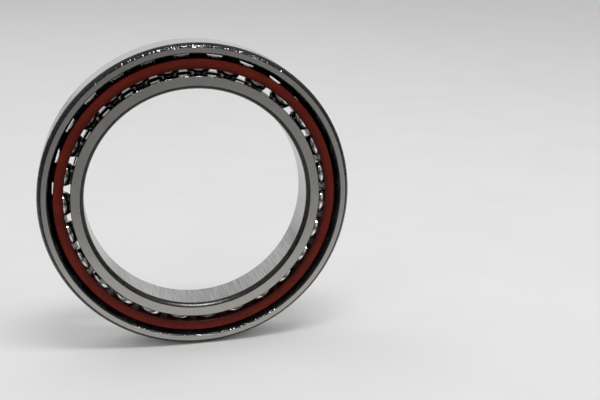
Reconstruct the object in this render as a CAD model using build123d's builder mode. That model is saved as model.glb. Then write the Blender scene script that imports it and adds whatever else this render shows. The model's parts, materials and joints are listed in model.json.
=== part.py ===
from build123d import *

# Single-row angular contact ball bearing: 100 mm bore, 140 mm outside diameter, 20 mm wide.
#
# It stands on its rim. The axis is +Y, +Z is up, and the origin is on the axis at mid-width.
# The front, at -Y, is the side where the outer ring is relieved. Each ring, the one-piece
# cage and each ball is a solid of its own. Units are millimetres.

import os
from math import cos, radians, sin, sqrt

# Boundary dimensions
BORE_D = 100.0
OUTSIDE_D = 140.0
WIDTH = 20.0

# Ball set and contact geometry
BALL_COUNT = 27
BALL_D = 11.4
PITCH_D = 119.6
CONTACT_ANGLE = 15.0  # degrees, between the contact line and the radial plane
GROOVE_RATIO = 0.525  # raceway groove radius over ball diameter
BALL_GAP = 0.1  # running gap between ball and raceway, along the contact line
FIRST_BALL_ANGLE = 7.2  # degrees from +X towards +Z

# Ring lands, as radii
INNER_LAND_R = 55.8  # both shoulders of the inner ring
OUTER_LAND_R = 63.7  # high shoulder of the outer ring, at the back
OUTER_LIP_R = 65.3  # low lip that keeps the balls in the relieved side
RELIEF_MOUTH_R = 65.5  # relief at the front face, a slight taper from the lip
LAND_CHAMFER = 0.25  # break where a land meets a face
MOUTH_CHAMFER = 0.5  # break where the relief meets the front face
GROOVE_EDGE_FILLET = 0.25  # rounding where a raceway meets its land

# Corner chamfers, radial by axial
OUTER_FRONT_CORNER = (1.9, 2.6)
OUTER_BACK_CORNER = (1.8, 2.0)
BORE_FRONT_CORNER = (1.7, 2.2)
BORE_BACK_CORNER = (1.7, 2.0)
CORNER_BULGE = 0.12  # rise of the crowned chamfer over its chord, as a share of the chord

# Cage
CAGE_INNER_R = 58.75
CAGE_OUTER_R = 63.15
CAGE_WIDTH = 17.8
CAGE_CHAMFER = 0.25
POCKET_GAP = 0.25  # radial gap between a ball and its pocket
POCKET_CHAMFER = 0.2  # break round both ends of each pocket
DRILL_MARGIN = 1.0  # how far a pocket drill starts and stops outside the cage wall

# Derived values
FRONT = -WIDTH / 2
BACK = WIDTH / 2
GROOVE_R = GROOVE_RATIO * BALL_D
GROOVE_SHIFT = GROOVE_R - BALL_D / 2 - BALL_GAP  # from ball centre to groove centre
SHIFT_RADIAL = GROOVE_SHIFT * cos(radians(CONTACT_ANGLE))
SHIFT_AXIAL = GROOVE_SHIFT * sin(radians(CONTACT_ANGLE))
POCKET_R = BALL_D / 2 + POCKET_GAP


def groove_edge(centre, land_r, side):
    """Point where a groove about centre meets the radius land_r; side is -1 at the front, 1 at the back."""
    radius, height = centre
    return land_r, height + side * sqrt(GROOVE_R**2 - (land_r - radius) ** 2)


def groove_bottom(centre, outward):
    """Deepest point of a groove about centre; outward is 1 in the outer ring, -1 in the inner ring."""
    radius, height = centre
    return radius + outward * GROOVE_R, height


def crown(start, end, outward):
    """Middle point of a crowned corner chamfer from start to end, bulged by its share towards outward."""
    (r0, y0), (r1, y1) = start, end
    chord = Vector(r1 - r0, y1 - y0)
    rise = Vector(-chord.Y, chord.X) * CORNER_BULGE
    if rise.dot(Vector(*outward)) < 0:
        rise = -rise
    middle = Vector((r0 + r1) / 2, (y0 + y1) / 2) + rise
    return middle.X, middle.Y


def at_any(*points):
    """Filter that keeps the vertices lying at any of the points."""
    return lambda vertex: any(abs(vertex.X - x) + abs(vertex.Y - y) < 1e-6 for x, y in points)


def radial(angle):
    """Unit vector from the axis at an angle, in degrees from +X towards +Z."""
    return Vector(cos(radians(angle)), 0, sin(radians(angle)))


def finish(part, name):
    """Labels a finished piece and writes its STEP file."""
    part.label = name
    export_step(part, f"parts/{name}.step")


os.makedirs("parts", exist_ok=True)
ball_angles = [FIRST_BALL_ANGLE + 360 / BALL_COUNT * k for k in range(BALL_COUNT)]

# Outer ring: profile in the XY plane as (radius, axial), turned about the axis.
outer_r = OUTSIDE_D / 2
outer_groove = (PITCH_D / 2 - SHIFT_RADIAL, -SHIFT_AXIAL)
outer_lip = groove_edge(outer_groove, OUTER_LIP_R, -1)
outer_land = groove_edge(outer_groove, OUTER_LAND_R, 1)
front_corner = (outer_r - OUTER_FRONT_CORNER[0], FRONT), (outer_r, FRONT + OUTER_FRONT_CORNER[1])
back_corner = (outer_r, BACK - OUTER_BACK_CORNER[1]), (outer_r - OUTER_BACK_CORNER[0], BACK)
with BuildPart() as outer_ring:
    with BuildSketch() as outer_section:
        with BuildLine():
            Line((RELIEF_MOUTH_R + MOUTH_CHAMFER, FRONT), front_corner[0])
            ThreePointArc(front_corner[0], crown(*front_corner, (1, -1)), front_corner[1])
            Line(front_corner[1], back_corner[0])
            ThreePointArc(back_corner[0], crown(*back_corner, (1, 1)), back_corner[1])
            Polyline(
                back_corner[1],
                (OUTER_LAND_R + LAND_CHAMFER, BACK),
                (OUTER_LAND_R, BACK - LAND_CHAMFER),
                outer_land,
            )
            ThreePointArc(outer_land, groove_bottom(outer_groove, 1), outer_lip)
            Polyline(
                outer_lip,
                (RELIEF_MOUTH_R, FRONT + MOUTH_CHAMFER),
                (RELIEF_MOUTH_R + MOUTH_CHAMFER, FRONT),
            )
        make_face()
        fillet(outer_section.vertices().filter_by(at_any(outer_land)), GROOVE_EDGE_FILLET)
    revolve(axis=Axis.Y)
finish(outer_ring.part, "outer_ring")

# Inner ring: two equal shoulders beside the groove, and the bore.
bore_r = BORE_D / 2
inner_groove = (PITCH_D / 2 + SHIFT_RADIAL, SHIFT_AXIAL)
inner_front = groove_edge(inner_groove, INNER_LAND_R, -1)
inner_back = groove_edge(inner_groove, INNER_LAND_R, 1)
bore_front = (bore_r, FRONT + BORE_FRONT_CORNER[1]), (bore_r + BORE_FRONT_CORNER[0], FRONT)
bore_back = (bore_r + BORE_BACK_CORNER[0], BACK), (bore_r, BACK - BORE_BACK_CORNER[1])
with BuildPart() as inner_ring:
    with BuildSketch() as inner_section:
        with BuildLine():
            ThreePointArc(bore_front[0], crown(*bore_front, (-1, -1)), bore_front[1])
            Polyline(
                bore_front[1],
                (INNER_LAND_R - LAND_CHAMFER, FRONT),
                (INNER_LAND_R, FRONT + LAND_CHAMFER),
                inner_front,
            )
            ThreePointArc(inner_front, groove_bottom(inner_groove, -1), inner_back)
            Polyline(
                inner_back,
                (INNER_LAND_R, BACK - LAND_CHAMFER),
                (INNER_LAND_R - LAND_CHAMFER, BACK),
                bore_back[0],
            )
            ThreePointArc(bore_back[0], crown(*bore_back, (-1, 1)), bore_back[1])
            Line(bore_back[1], bore_front[0])
        make_face()
        fillet(inner_section.vertices().filter_by(at_any(inner_front, inner_back)), GROOVE_EDGE_FILLET)
    revolve(axis=Axis.Y)
finish(inner_ring.part, "inner_ring")

# Cage: one turned ring of fabric laminate with a drilled pocket for each ball.
cage_middle_r = (CAGE_INNER_R + CAGE_OUTER_R) / 2
cage_wall = CAGE_OUTER_R - CAGE_INNER_R
drill_planes = [
    Plane(origin=radial(a) * (CAGE_OUTER_R + DRILL_MARGIN), z_dir=radial(a)) for a in ball_angles
]
with BuildPart() as cage:
    with BuildSketch():
        with Locations((cage_middle_r, 0)):
            section = Rectangle(cage_wall, CAGE_WIDTH)
        chamfer(section.vertices(), CAGE_CHAMFER)
    revolve(axis=Axis.Y)
    turned_edges = cage.edges()
    with Locations(*drill_planes):
        Hole(radius=POCKET_R, depth=cage_wall + 2 * DRILL_MARGIN)
    chamfer(cage.edges() - turned_edges, POCKET_CHAMFER)
finish(cage.part, "cage")

# Balls: one solid each, on the pitch circle.
for number, angle in enumerate(ball_angles, start=1):
    with BuildPart() as ball:
        with Locations(radial(angle) * (PITCH_D / 2)):
            Sphere(BALL_D / 2)
    finish(ball.part, f"ball_{number:02d}")
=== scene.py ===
"""The looks of an open angular contact ball bearing that stands on its rim, on a pale floor.

The rings are turned here as fine meshes round the CAD axis, +Y, with a finish for each surface.
The cage and the balls are the CAD nodes with better materials.
"""

import json
from math import atan2, cos, pi, radians, sin, sqrt, tan

import bpy
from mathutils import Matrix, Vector


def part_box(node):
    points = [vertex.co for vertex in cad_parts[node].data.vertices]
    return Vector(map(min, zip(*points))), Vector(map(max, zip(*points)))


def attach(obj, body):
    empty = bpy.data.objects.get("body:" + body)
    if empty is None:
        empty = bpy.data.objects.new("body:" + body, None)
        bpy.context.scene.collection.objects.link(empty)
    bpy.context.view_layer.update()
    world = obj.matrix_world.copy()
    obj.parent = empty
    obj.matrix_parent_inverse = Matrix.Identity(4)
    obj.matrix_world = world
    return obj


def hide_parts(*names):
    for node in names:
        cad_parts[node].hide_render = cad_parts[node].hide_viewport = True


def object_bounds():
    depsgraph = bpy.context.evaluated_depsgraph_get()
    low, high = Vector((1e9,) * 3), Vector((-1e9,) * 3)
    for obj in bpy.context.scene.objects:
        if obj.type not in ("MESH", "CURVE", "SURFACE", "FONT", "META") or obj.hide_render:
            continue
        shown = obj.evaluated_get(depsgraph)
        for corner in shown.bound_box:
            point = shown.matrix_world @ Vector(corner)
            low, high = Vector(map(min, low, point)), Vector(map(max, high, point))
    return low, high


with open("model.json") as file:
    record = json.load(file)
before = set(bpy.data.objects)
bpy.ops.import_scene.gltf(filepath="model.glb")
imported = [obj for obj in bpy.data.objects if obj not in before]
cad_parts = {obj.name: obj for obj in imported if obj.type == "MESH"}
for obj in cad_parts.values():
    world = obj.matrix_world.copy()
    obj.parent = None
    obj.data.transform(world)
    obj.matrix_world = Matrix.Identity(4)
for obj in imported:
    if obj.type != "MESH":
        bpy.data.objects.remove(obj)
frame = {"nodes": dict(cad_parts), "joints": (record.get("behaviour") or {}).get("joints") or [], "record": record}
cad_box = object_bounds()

MM = 0.001

# Sizes that the CAD model holds, in millimetres. Radii are from the axis, and y runs along it.
low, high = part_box("outer_ring")
OUTSIDE_R = high.x / MM
FRONT = low.y / MM
BACK = high.y / MM
low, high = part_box("ball_01")
BALL_D = (high.y - low.y) / MM
CAGE_OUTER_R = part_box("cage")[1].x / MM
BORE_R = next(m["dims"]["r_mm"] for m in frame["record"]["mounts"] if m["name"] == "shaft_bore")
BALL_JOINTS = [j for j in frame["joints"] if j["child"].startswith("ball_")]
PITCH_R = Vector(BALL_JOINTS[0]["pos_m"]).length / MM

# The rest of the sections, in millimetres.
CONTACT_ANGLE = radians(15)
GROOVE_R = 0.525 * BALL_D
BALL_GAP = 0.1
INNER_LAND_R = 55.8
OUTER_LAND_R = 63.7
LIP_R = 65.3
MOUTH_R = 65.5
LAND_CHAMFER = 0.25
MOUTH_CHAMFER = 0.5
OUTER_FRONT_CORNER = (1.9, 2.6)
OUTER_BACK_CORNER = (1.8, 2.0)
BORE_FRONT_CORNER = (1.7, 2.2)
BORE_BACK_CORNER = (1.7, 2.0)
CORNER_BULGE = 0.12  # rise of a crowned corner chamfer over its chord, as a share of the chord
CAGE_INNER_R = 58.75

# Mesh fineness
TURN_STEPS = 540  # facets round a turned piece, a multiple of 4 so that it fills the CAD box
EDGE_ROUNDING = 0.07  # the hair-line radius left on every turned edge
GROOVE_EDGE_ROUNDING = 0.25  # where a raceway meets its land
ROUNDING_STEPS = 4
CROWN_STEPS = 10
RACE_STEPS = 32
SMOOTH_JOINT = radians(8)  # strokes that meet at less than this need no rounding
HOLD = 0.04  # a narrow band beside each rounding keeps the flat next to it flat in the light


# ---------------------------------------------------------------- node helpers


def add(tree, kind, settings=None, **sockets):
    """A node of a kind. Settings are its properties, and each socket takes a value or another socket."""
    node = tree.nodes.new(kind)
    for name, value in (settings or {}).items():
        setattr(node, name, value)
    for name, value in sockets.items():
        key = int(name[1:]) if name[0] == "_" else name
        if isinstance(value, bpy.types.NodeSocket):
            tree.links.new(value, node.inputs[key])
        else:
            node.inputs[key].default_value = value
    return node


def calc(tree, operation, a, b=0.0):
    """The result of a math operation on one or two values."""
    return add(tree, "ShaderNodeMath", {"operation": operation}, _0=a, _1=b).outputs[0]


def remap(tree, value, from_low, from_high, to_low, to_high):
    """A value taken from one range to another, and held at its ends."""
    node = add(tree, "ShaderNodeMapRange", None, _0=value, _1=from_low, _2=from_high, _3=to_low, _4=to_high)
    return node.outputs[0]


def mixed(tree, share, a, b):
    """The value between a and b at a share of the way."""
    return add(tree, "ShaderNodeMix", None, _0=share, _2=a, _3=b).outputs[0]


def noise(tree, vector, scale, detail=3.0):
    """Smooth noise at a place, with a scale in features per millimetre."""
    node = add(tree, "ShaderNodeTexNoise", None, Vector=vector, Scale=scale, Detail=detail)
    return node.outputs["Fac"]


def spread(tree, value, low, high):
    """Low to high, as a noise goes over the range that it mostly fills."""
    return remap(tree, value, 0.3, 0.7, low, high)


def stretched(tree, place, x=1.0, y=1.0, z=1.0):
    """A place with each axis scaled, so that a noise of it is drawn out along the small ones."""
    return add(tree, "ShaderNodeVectorMath", {"operation": "MULTIPLY"}, _0=place, _1=(x, y, z)).outputs[0]


def scaled(tree, vector, factor):
    """A place or a colour times a factor."""
    return add(tree, "ShaderNodeVectorMath", {"operation": "SCALE"}, _0=vector, Scale=factor).outputs[0]


def tint(tree, value, dark, light):
    """Colour from dark to light, as a noise goes over the range that it mostly fills."""
    mix = add(tree, "ShaderNodeMix", {"data_type": "RGBA"}, _0=spread(tree, value, 0.0, 1.0))
    mix.inputs["A"].default_value = (*dark, 1)
    mix.inputs["B"].default_value = (*light, 1)
    return mix.outputs["Result"]


def bump(tree, shader, height, distance):
    """Relief on a shader, where height goes from 0 to 1 over a distance in millimetres."""
    node = add(tree, "ShaderNodeBump", None, Distance=distance * MM, Height=height)
    tree.links.new(node.outputs[0], shader.inputs["Normal"])


def material_on(name, metallic):
    """A new material with its node tree, its shader, and the place on the object in millimetres."""
    material = bpy.data.materials.new(name)
    material.use_nodes = True
    tree = material.node_tree
    shader = tree.nodes["Principled BSDF"]
    shader.inputs["Metallic"].default_value = metallic
    place = scaled(tree, add(tree, "ShaderNodeTexCoord").outputs["Object"], 1 / MM)
    return material, tree, shader, place


def drive(tree, shader, **sockets):
    """Feeds shader sockets, named with _ for a space, from node outputs."""
    for name, value in sockets.items():
        tree.links.new(value, shader.inputs[name.replace("_", " ")])


# ---------------------------------------------------------------- materials

GRIND_ANGLE = radians(24)  # how far the grinding lines on the side faces lean
PLY_STRETCH = 22.0  # how much closer the cage's cloth rings lie than their waves along the ring
PAINTED_SHADE_FROM, PAINTED_SHADE_TO = CAGE_INNER_R + 0.1, CAGE_INNER_R + 2.45  # radii from the darkest painted shade to none
POLISH_FROM, POLISH_TO = CAGE_OUTER_R - 0.25, CAGE_OUTER_R - 0.05  # from machined to polished


def ground_face():
    """Ground side face of a ring: satin steel with fine straight grinding lines and faint cloudiness."""
    material, tree, shader, place = material_on("ground_face", 1.0)
    about_axis = {"rotation_type": "Y_AXIS"}
    leaning = add(tree, "ShaderNodeVectorRotate", about_axis, Vector=place, Angle=GRIND_ANGLE)
    lines = noise(tree, stretched(tree, leaning.outputs[0], x=0.12, z=5.0), 1.3, 4)
    cloud = noise(tree, place, 0.10)
    both = mixed(tree, 0.3, lines, cloud)
    drive(
        tree,
        shader,
        Base_Color=tint(tree, both, (0.39, 0.375, 0.35), (0.465, 0.45, 0.425)),
        Roughness=spread(tree, both, 0.25, 0.36),
    )
    bump(tree, shader, lines, 0.0025)
    return material


def ground_seat():
    """Ground outside or bore: bright steel with short axial chatter lines over fine hoop lines."""
    material, tree, shader, place = material_on("ground_seat", 1.0)
    chatter = noise(tree, stretched(tree, place, y=0.05), 1.2, 2)
    hoops = noise(tree, stretched(tree, place, x=0.06, y=5.0, z=0.06), 1.5)
    both = mixed(tree, 0.25, chatter, hoops)
    drive(
        tree,
        shader,
        Base_Color=tint(tree, both, (0.32, 0.317, 0.31), (0.55, 0.545, 0.535)),
        Roughness=spread(tree, both, 0.14, 0.26),
    )
    bump(tree, shader, both, 0.012)
    return material


def raw_edge(name, relief, smooth, rough):
    """Turned and hardened surface that is never ground: near-black scale over chatter marks.

    Relief is the height of the marks in millimetres, and the roughness goes from smooth to rough.
    """
    material, tree, shader, place = material_on(name, 0.4)
    shader.inputs["Specular IOR Level"].default_value = 0.3
    spoke = add(tree, "ShaderNodeVectorMath", {"operation": "NORMALIZE"}, _0=stretched(tree, place, y=0.0))
    chatter = noise(tree, scaled(tree, spoke.outputs[0], OUTSIDE_R), 1.2, 0.0)
    pebble = noise(tree, place, 1.1, 0.0)
    cloud = noise(tree, place, 0.3)
    drive(
        tree,
        shader,
        Base_Color=tint(tree, cloud, (0.020, 0.0195, 0.021), (0.034, 0.033, 0.036)),
        Roughness=spread(tree, cloud, smooth, rough),
    )
    bump(tree, shader, mixed(tree, 0.4, chatter, pebble), relief)
    return material


def honed_steel(name, dark, light):
    """Honed surface inside a ring: near-mirror steel with hair-fine hoop lines."""
    material, tree, shader, place = material_on(name, 1.0)
    shader.inputs["Specular Tint"].default_value = (0.6, 0.6, 0.6, 1)
    hoops = noise(tree, stretched(tree, place, x=0.05, y=7.0, z=0.05), 1.5)
    drive(
        tree,
        shader,
        Base_Color=tint(tree, hoops, dark, light),
        Roughness=spread(tree, hoops, 0.06, 0.11),
    )
    bump(tree, shader, hoops, 0.0006)
    return material


def ball_steel():
    """Lapped ball: mirror steel with the faintest cloud of lubricant film."""
    material, tree, shader, place = material_on("ball_steel", 1.0)
    shader.inputs["Specular Tint"].default_value = (0.4, 0.4, 0.4, 1)
    film = noise(tree, place, 0.6)
    drive(
        tree,
        shader,
        Base_Color=tint(tree, film, (0.72, 0.72, 0.71), (0.84, 0.84, 0.83)),
        Roughness=spread(tree, film, 0.03, 0.07),
    )
    return material


def cage_laminate():
    """Machined fabric laminate: red-brown resin in which the wound cloth shows as fine rings.

    Its colour is darkened towards the inner edge as painted shade, and its outside is polished by the outer ring.
    """
    material, tree, shader, place = material_on("cage_laminate", 0.0)
    shader.inputs["Specular IOR Level"].default_value = 0.12
    axes = add(tree, "ShaderNodeSeparateXYZ", None, _0=place).outputs
    squares = calc(tree, "ADD", calc(tree, "POWER", axes[0], 2.0), calc(tree, "POWER", axes[2], 2.0))
    radius = calc(tree, "SQRT", squares)
    across_plies = calc(tree, "MULTIPLY", radius, PLY_STRETCH)
    wound = add(tree, "ShaderNodeCombineXYZ", None, _0=across_plies, _1=axes[0], _2=axes[2])
    plies = noise(tree, wound.outputs[0], 0.22, 4)
    cloud = noise(tree, place, 0.14)
    both = mixed(tree, 0.5, plies, cloud)
    # painted shade: the resin colour is scaled from 0.4 at the inner edge up to 1 further out
    painted_shade = remap(tree, radius, PAINTED_SHADE_FROM, PAINTED_SHADE_TO, 0.4, 1.0)
    outside = remap(tree, radius, POLISH_FROM, POLISH_TO, 0.0, 1.0)
    resin = tint(tree, both, (0.078, 0.0068, 0.0032), (0.137, 0.013, 0.0064))
    drive(
        tree,
        shader,
        Base_Color=scaled(tree, resin, painted_shade),
        Roughness=mixed(tree, outside, spread(tree, plies, 0.22, 0.32), 0.05),
    )
    bump(tree, shader, plies, 0.002)
    return material


def paper(name, dark, light):
    """Matt studio paper, in a grey that wanders between dark and light."""
    material, tree, shader, place = material_on(name, 0.0)
    shader.inputs["Specular IOR Level"].default_value = 0.2
    drive(
        tree,
        shader,
        Base_Color=tint(tree, noise(tree, place, 0.02), (dark,) * 3, (light,) * 3),
        Roughness=spread(tree, noise(tree, place, 0.5), 0.8, 0.95),
    )
    return material


# ---------------------------------------------------------------- turned shapes


def arc_points(start, through, end, steps):
    """Points of the circular arc from start through a middle point to end.

    The centre (ox, oy) is that of the circle through the three points.
    """
    (ax, ay), (bx, by), (cx, cy) = start, through, end
    d = 2 * (ax * (by - cy) + bx * (cy - ay) + cx * (ay - by))
    a2, b2, c2 = ax**2 + ay**2, bx**2 + by**2, cx**2 + cy**2
    ox = (a2 * (by - cy) + b2 * (cy - ay) + c2 * (ay - by)) / d
    oy = (a2 * (cx - bx) + b2 * (ax - cx) + c2 * (bx - ax)) / d
    radius = sqrt((ax - ox) ** 2 + (ay - oy) ** 2)
    first = atan2(ay - oy, ax - ox)
    middle = (atan2(by - oy, bx - ox) - first) % (2 * pi)
    sweep = (atan2(cy - oy, cx - ox) - first) % (2 * pi)
    if middle > sweep:
        sweep -= 2 * pi
    angles = [first + sweep * k / steps for k in range(steps + 1)]
    return [(ox + radius * cos(a), oy + radius * sin(a)) for a in angles]


def crowned(start, end, outward):
    """A corner chamfer from start to end that bulges towards outward."""
    start, end = Vector(start), Vector(end)
    chord = end - start
    rise = Vector((-chord.y, chord.x)) * CORNER_BULGE
    if rise.dot(Vector(outward)) < 0:
        rise = -rise
    return arc_points(start, (start + end) / 2 + rise, end, CROWN_STEPS)


def soften(strokes):
    """The closed profile through the strokes, with a small arc where one meets the next at an angle.

    A stroke is a finish, its points, and the radius at its start if that isn't the usual one.
    Returns the points, and the finish of the surface that follows each.
    """
    corners = []
    for k, (_, stroke, *radius) in enumerate(strokes):
        into = (Vector(stroke[0]) - Vector(strokes[k - 1][1][-2])).normalized()
        along = (Vector(stroke[1]) - Vector(stroke[0])).normalized()
        turn = into.angle(along)
        cut = (radius[0] if radius else EDGE_ROUNDING) * tan(turn / 2) if turn > SMOOTH_JOINT else 0.0
        corner = Vector(stroke[0])
        corners.append((corner - into * cut, corner, corner + along * cut, cut))
    points, finishes = [], []
    for k, (finish, stroke, *_) in enumerate(strokes):
        start, corner, end, cut = corners[k]
        stop, *_, next_cut = corners[(k + 1) % len(strokes)]
        part = []
        if cut:
            shares = [step / ROUNDING_STEPS for step in range(ROUNDING_STEPS)]
            part += [(1 - t) ** 2 * start + 2 * t * (1 - t) * corner + t**2 * end for t in shares]
        part.append(end)
        if len(stroke) == 2:
            along = (stop - end).normalized()
            if cut:
                part.append(end + along * HOLD)
            if next_cut:
                part.append(stop - along * HOLD)
        part += [Vector(p) for p in stroke[1:-1]]
        points += part
        finishes += [finish] * len(part)
    return points, finishes


def turned(name, strokes, materials):
    """Turns a closed profile of strokes about the Y axis, each with its own material."""
    points, finishes = soften(strokes)
    count = len(points)
    vertices = []
    for step in range(TURN_STEPS):
        angle = 2 * pi * step / TURN_STEPS
        vertices += [(p.x * MM * cos(angle), p.y * MM, p.x * MM * sin(angle)) for p in points]
    faces = []
    for step in range(TURN_STEPS):
        here, there = step * count, (step + 1) % TURN_STEPS * count
        for k in range(count):
            after = (k + 1) % count
            faces.append((here + k, here + after, there + after, there + k))
    mesh = bpy.data.meshes.new(name)
    mesh.from_pydata(vertices, [], faces)
    names = list(dict.fromkeys(finishes))
    for finish in names:
        mesh.materials.append(materials[finish])
    slots = [names.index(finish) for finish in finishes]
    mesh.polygons.foreach_set("material_index", slots * TURN_STEPS)
    mesh.shade_smooth()
    piece = bpy.data.objects.new(name, mesh)
    bpy.context.scene.collection.objects.link(piece)
    return piece


def groove(outward):
    """Centre of a raceway groove, where outward is 1 in the outer ring and -1 in the inner ring."""
    shift = GROOVE_R - BALL_D / 2 - BALL_GAP
    return Vector((PITCH_R - outward * shift * cos(CONTACT_ANGLE), -outward * shift * sin(CONTACT_ANGLE)))


def groove_edge(centre, land, side):
    """Where a groove meets the radius land; side is -1 at the front and 1 at the back."""
    return land, centre.y + side * sqrt(GROOVE_R**2 - (land - centre.x) ** 2)


def outer_ring(materials):
    """The outer ring, with a low lip and a tapered relief in front, and a high land at the back."""
    centre = groove(1)
    lip = groove_edge(centre, LIP_R, -1)
    land = groove_edge(centre, OUTER_LAND_R, 1)
    front_face_r, front_rim_y = OUTSIDE_R - OUTER_FRONT_CORNER[0], FRONT + OUTER_FRONT_CORNER[1]
    back_face_r, back_rim_y = OUTSIDE_R - OUTER_BACK_CORNER[0], BACK - OUTER_BACK_CORNER[1]
    mouth_r, mouth_y = MOUTH_R + MOUTH_CHAMFER, FRONT + MOUTH_CHAMFER
    land_r, land_y = OUTER_LAND_R + LAND_CHAMFER, BACK - LAND_CHAMFER
    race = arc_points(land, (centre.x + GROOVE_R, centre.y), lip, RACE_STEPS)
    strokes = [
        ("face", [(mouth_r, FRONT), (front_face_r, FRONT)]),
        ("raw", crowned((front_face_r, FRONT), (OUTSIDE_R, front_rim_y), (1, -1))),
        ("seat", [(OUTSIDE_R, front_rim_y), (OUTSIDE_R, back_rim_y)]),
        ("raw", crowned((OUTSIDE_R, back_rim_y), (back_face_r, BACK), (1, 1))),
        ("face", [(back_face_r, BACK), (land_r, BACK)]),
        ("raw", [(land_r, BACK), (OUTER_LAND_R, land_y)]),
        ("land", [(OUTER_LAND_R, land_y), land]),
        ("race", race, GROOVE_EDGE_ROUNDING),
        ("raw", [lip, (MOUTH_R, mouth_y)]),
        ("raw", [(MOUTH_R, mouth_y), (mouth_r, FRONT)]),
    ]
    return turned("outer_ring_turned", strokes, materials)


def inner_ring(materials):
    """The inner ring, with equal lands beside the groove."""
    centre = groove(-1)
    front = groove_edge(centre, INNER_LAND_R, -1)
    back = groove_edge(centre, INNER_LAND_R, 1)
    front_face_r, front_bore_y = BORE_R + BORE_FRONT_CORNER[0], FRONT + BORE_FRONT_CORNER[1]
    back_face_r, back_bore_y = BORE_R + BORE_BACK_CORNER[0], BACK - BORE_BACK_CORNER[1]
    land_r = INNER_LAND_R - LAND_CHAMFER
    land_front, land_back = FRONT + LAND_CHAMFER, BACK - LAND_CHAMFER
    race = arc_points(front, (centre.x - GROOVE_R, centre.y), back, RACE_STEPS)
    strokes = [
        ("bore_edge", crowned((BORE_R, front_bore_y), (front_face_r, FRONT), (-1, -1))),
        ("face", [(front_face_r, FRONT), (land_r, FRONT)]),
        ("raw", [(land_r, FRONT), (INNER_LAND_R, land_front)]),
        ("land", [(INNER_LAND_R, land_front), front]),
        ("race", race, GROOVE_EDGE_ROUNDING),
        ("land", [back, (INNER_LAND_R, land_back)], GROOVE_EDGE_ROUNDING),
        ("raw", [(INNER_LAND_R, land_back), (land_r, BACK)]),
        ("face", [(land_r, BACK), (back_face_r, BACK)]),
        ("bore_edge", crowned((back_face_r, BACK), (BORE_R, back_bore_y), (-1, 1))),
        ("seat", [(BORE_R, back_bore_y), (BORE_R, front_bore_y)]),
    ]
    return turned("inner_ring_turned", strokes, materials)


# ---------------------------------------------------------------- the bearing


def refinish(node, material):
    """Gives a CAD node one better material."""
    slots = frame["nodes"][node].data.materials
    slots.clear()
    slots.append(material)


ring_finishes = {
    "face": ground_face(),
    "seat": ground_seat(),
    "raw": raw_edge("raw_edge", 0.62, 0.05, 0.08),
    "bore_edge": raw_edge("bore_edge", 0.05, 0.25, 0.31),
    "land": honed_steel("land_steel", (0.26, 0.27, 0.26), (0.32, 0.33, 0.32)),
    "race": honed_steel("raceway_steel", (0.20, 0.20, 0.20), (0.28, 0.28, 0.28)),
}
for make_ring, node in ((outer_ring, "outer_ring"), (inner_ring, "inner_ring")):
    ring = make_ring(ring_finishes)
    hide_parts(node)
    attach(ring, node)

refinish("cage", cage_laminate())
lapped = ball_steel()
for joint in BALL_JOINTS:
    refinish(joint["child"], lapped)

# ---------------------------------------------------------------- studio

# Places here are in metres, and x runs to the right.
FLOOR_Z = cad_box[0].z
FLOOR_REACH = 6.0
CARD_REACH = 3.0
CARD_LIFT = 0.001  # height of the cards over the floor
CARD_FRONT = -0.15  # y where the front cards end and the side cards begin
CARD_SPLIT = 0.08  # x where the two front cards meet
LEFT_CARD_X = -0.35  # x where the left card ends
RIGHT_CARD_X = 0.45  # x where the right card begins

# Strength of the walls round the studio
WALLS_FOR_DIFFUSE = 0.66
WALLS_SEEN = 0.62
OVERHEAD_MIRRORED = 0.50

# The camera stands where the photographer did.
CAMERA_PLACE = (-0.0448, -0.4160, 0.1217)
CAMERA_DOWN = radians(16.67)
CAMERA_RIGHT = radians(12.70)
LENS_MM = 56.82
SENSOR_MM = 36.0


def sheet(name, x_range, y_range, z, material):
    """A flat rectangle that faces up, as part of the stage."""
    mesh = bpy.data.meshes.new(name)
    corners = [(x_range[i], y_range[j], z) for i, j in ((0, 0), (1, 0), (1, 1), (0, 1))]
    mesh.from_pydata(corners, [], [(0, 1, 2, 3)])
    mesh.materials.append(material)
    piece = bpy.data.objects.new(name, mesh)
    bpy.context.scene.collection.objects.link(piece)
    return piece


def softbox(name, place, width, depth, power):
    """A rectangular lamp, level along X and tilted about it so that it faces the bearing."""
    data = bpy.data.lights.new(name, "AREA")
    data.shape = "RECTANGLE"
    data.size = width
    data.size_y = depth
    data.energy = power
    light = bpy.data.objects.new(name, data)
    light.location = place
    light.rotation_euler = (atan2(-place[1], place[2]), 0, 0)
    bpy.context.scene.collection.objects.link(light)
    return light


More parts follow.
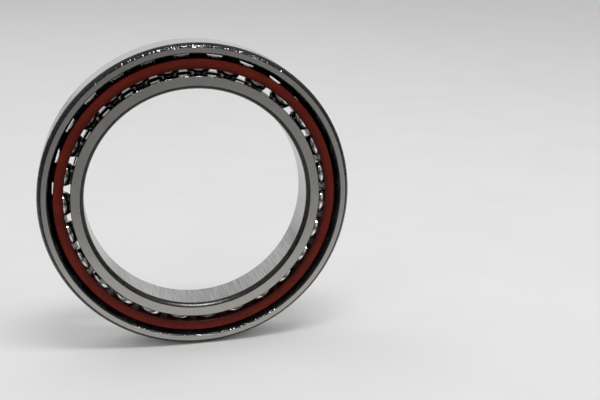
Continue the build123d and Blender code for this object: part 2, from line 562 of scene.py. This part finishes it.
def walls():
    """White walls for diffuse light, mirrored dark in front and lighter behind and overhead."""
    world = bpy.data.worlds.new("studio")
    world.use_nodes = True
    tree = world.node_tree
    background = tree.nodes["Background"]
    background.inputs["Color"].default_value = (1, 1, 1, 1)
    place = add(tree, "ShaderNodeTexCoord").outputs["Generated"]
    way = add(tree, "ShaderNodeSeparateXYZ", None, _0=place).outputs
    behind = remap(tree, way[1], -0.3, 0.35, 0.08, 0.80)
    centre_share = remap(tree, calc(tree, "ABSOLUTE", way[0]), 0.35, 0.75, 1.0, 0.2)
    overhead = remap(tree, way[2], 0.15, 0.65, 0.0, 1.0)
    mirrored = mixed(tree, overhead, calc(tree, "MULTIPLY", behind, centre_share), OVERHEAD_MIRRORED)
    ray = add(tree, "ShaderNodeLightPath").outputs
    unseen = mixed(tree, ray["Is Glossy Ray"], WALLS_FOR_DIFFUSE, mirrored)
    strength = mixed(tree, ray["Is Camera Ray"], unseen, WALLS_SEEN)
    tree.links.new(strength, background.inputs["Strength"])
    return world


def photo_camera():
    """The camera, a little above the bearing and to its left, which looks down and to the right."""
    data = bpy.data.cameras.new("camera")
    data.sensor_width = SENSOR_MM
    data.lens = LENS_MM
    camera = bpy.data.objects.new("camera", data)
    camera.location = CAMERA_PLACE
    camera.rotation_euler = (pi / 2 - CAMERA_DOWN, 0, -CAMERA_RIGHT)
    bpy.context.scene.collection.objects.link(camera)
    return camera


floor_range = (-FLOOR_REACH, FLOOR_REACH)
sheet("studio_floor", floor_range, floor_range, FLOOR_Z, paper("white_paper", 0.79, 0.81))

# Grey cards on the floor that only the steel mirrors, so that it shows darker than the floor.
dark_card = paper("dark_card", 0.28, 0.31)
grey_card = paper("grey_card", 0.38, 0.42)
for name, x_range, y_range, card in (
    ("flag_front_left", (-CARD_REACH, CARD_SPLIT), (-CARD_REACH, CARD_FRONT), dark_card),
    ("flag_front_right", (CARD_SPLIT, CARD_REACH), (-CARD_REACH, CARD_FRONT), grey_card),
    ("flag_left", (-CARD_REACH, LEFT_CARD_X), (CARD_FRONT, CARD_REACH), dark_card),
    ("flag_right", (RIGHT_CARD_X, CARD_REACH), (CARD_FRONT, CARD_REACH), dark_card),
):
    flag = sheet(name, x_range, y_range, FLOOR_Z + CARD_LIFT, card)
    flag.visible_camera = flag.visible_diffuse = flag.visible_shadow = False

# The glint shows only in mirrored light, on the chamfers, and the fill only in diffuse light.
softbox("key", (0.20, -0.30, 1.05), 0.7, 0.2, 4.0)
glint = softbox("glint", (0.14, -0.35, 1.02), 0.36, 0.10, 16.0)
glint.visible_diffuse = False
fill = softbox("fill", (-0.4, 0.8, 1.1), 1.2, 1.2, 2.2)
fill.visible_glossy = False

bpy.context.scene.world = walls()
bpy.context.scene.camera = photo_camera()
bpy.context.scene.view_settings.view_transform = "Standard"
